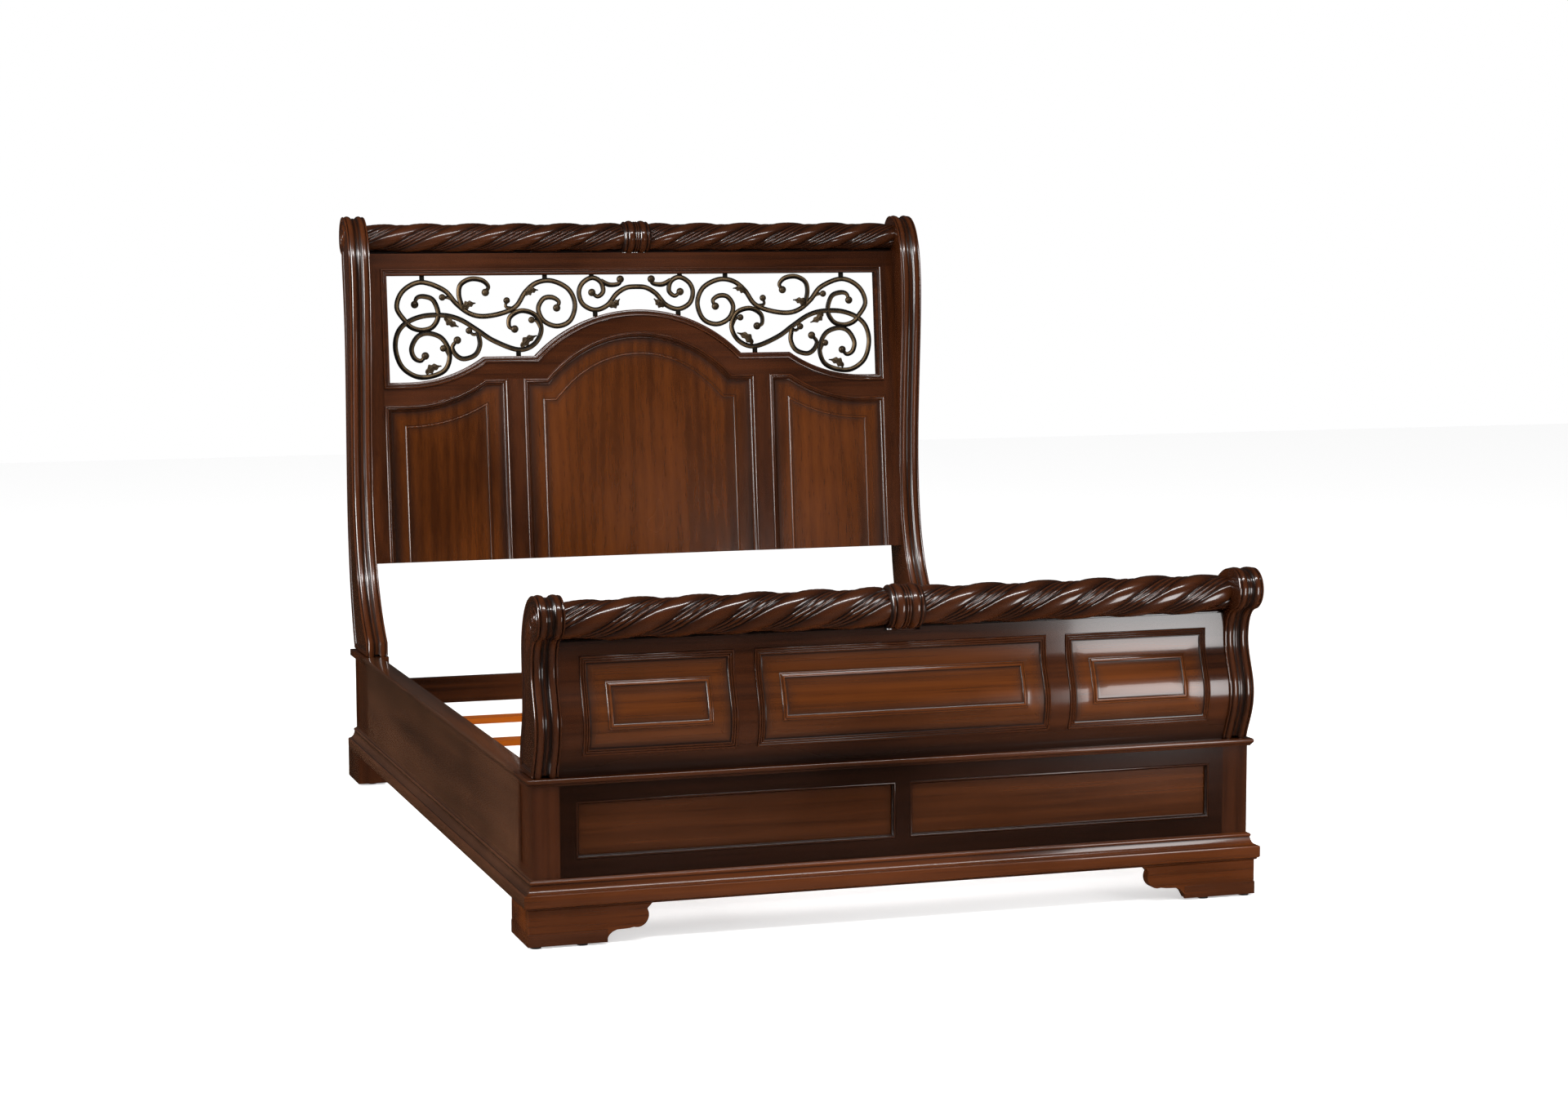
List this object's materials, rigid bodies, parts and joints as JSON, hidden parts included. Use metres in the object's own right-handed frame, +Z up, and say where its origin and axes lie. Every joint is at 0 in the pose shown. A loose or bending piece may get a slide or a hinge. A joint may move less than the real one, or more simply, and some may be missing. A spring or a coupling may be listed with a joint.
{
  "type": "sleigh bed",
  "caption": "Sleigh bed with scrolled posts, rope-turned top rails, iron scrollwork over an arched panelled headboard, a curved panelled footboard, a plinth with a ledge, and slats.",
  "frame": {"origin": "bottom centre of the bed's bounding box, on the floor", "axes": "+X across the bed, to the right seen from the footboard; +Y along the bed from the footboard to the headboard; +Z up"},
  "size_m": [1.77, 2.457, 1.608],
  "materials": {
    "frame_wood": "dark reddish-brown stain and glaze under satin lacquer",
    "panel_wood": "lighter amber-brown figured veneer under satin lacquer",
    "iron": "dark bronze paint rubbed back on the ridges",
    "pine": "planed, unfinished",
    "steel": "zinc plated",
    "nylon": "moulded, matt"
  },
  "bodies": {
    "bed": {"head_post_left": "frame_wood", "head_post_right": "frame_wood", "head_corner_post_left": "frame_wood", "head_corner_post_right": "frame_wood", "rear_foot_left": "frame_wood", "rear_foot_right": "frame_wood", "head_top_board": "frame_wood", "head_stiles": "frame_wood", "head_arched_rail": "frame_wood", "head_muntins": "frame_wood", "head_panel_left": "panel_wood", "head_panel_centre": "panel_wood", "head_panel_right": "panel_wood", "head_panel_moulding_left": "frame_wood", "head_panel_moulding_centre": "frame_wood", "head_panel_moulding_right": "frame_wood", "opening_moulding": "frame_wood", "head_rope_left": "frame_wood", "head_rope_right": "frame_wood", "head_collar": "frame_wood", "scrollwork_left": "iron", "scrollwork_centre": "iron", "scrollwork_right": "iron", "head_stretcher": "frame_wood", "foot_post_left": "frame_wood", "foot_post_right": "frame_wood", "foot_corner_post_left": "frame_wood", "foot_corner_post_right": "frame_wood", "bracket_foot_left": "frame_wood", "bracket_foot_right": "frame_wood", "foot_curved_panel": "frame_wood", "foot_panel_moulding_left": "frame_wood", "foot_panel_moulding_centre": "frame_wood", "foot_panel_moulding_right": "frame_wood", "foot_raised_panels": "panel_wood", "foot_rope_left": "frame_wood", "foot_rope_right": "frame_wood", "foot_collar": "frame_wood", "foot_ledge": "frame_wood", "plinth_frame": "frame_wood", "plinth_panels": "panel_wood", "plinth_beads": "frame_wood", "base_moulding_front": "frame_wood", "base_moulding_left": "frame_wood", "base_moulding_right": "frame_wood", "side_rail_left": "frame_wood", "side_rail_right": "frame_wood", "rail_cap_left": "frame_wood", "rail_cap_right": "frame_wood", "slat_cleats": "pine", "slats": "pine", "slat_screws": "steel", "centre_legs": "pine", "rail_brackets": "steel", "bracket_bolts": "steel", "glides": "nylon"},
    "foot_end_leveller": {"leveller_foot_end": "steel"},
    "middle_leveller": {"leveller_middle": "steel"},
    "head_end_leveller": {"leveller_head_end": "steel"}
  },
  "joints": [
    {"name": "foot_end_leveller_slide", "type": "slide", "parent": "bed", "child": "foot_end_leveller", "axis": [0, 0, 1], "range_m": [0, 0.015]},
    {"name": "middle_leveller_slide", "type": "slide", "parent": "bed", "child": "middle_leveller", "axis": [0, 0, 1], "range_m": [0, 0.015]},
    {"name": "head_end_leveller_slide", "type": "slide", "parent": "bed", "child": "head_end_leveller", "axis": [0, 0, 1], "range_m": [0, 0.015]}
  ]
}
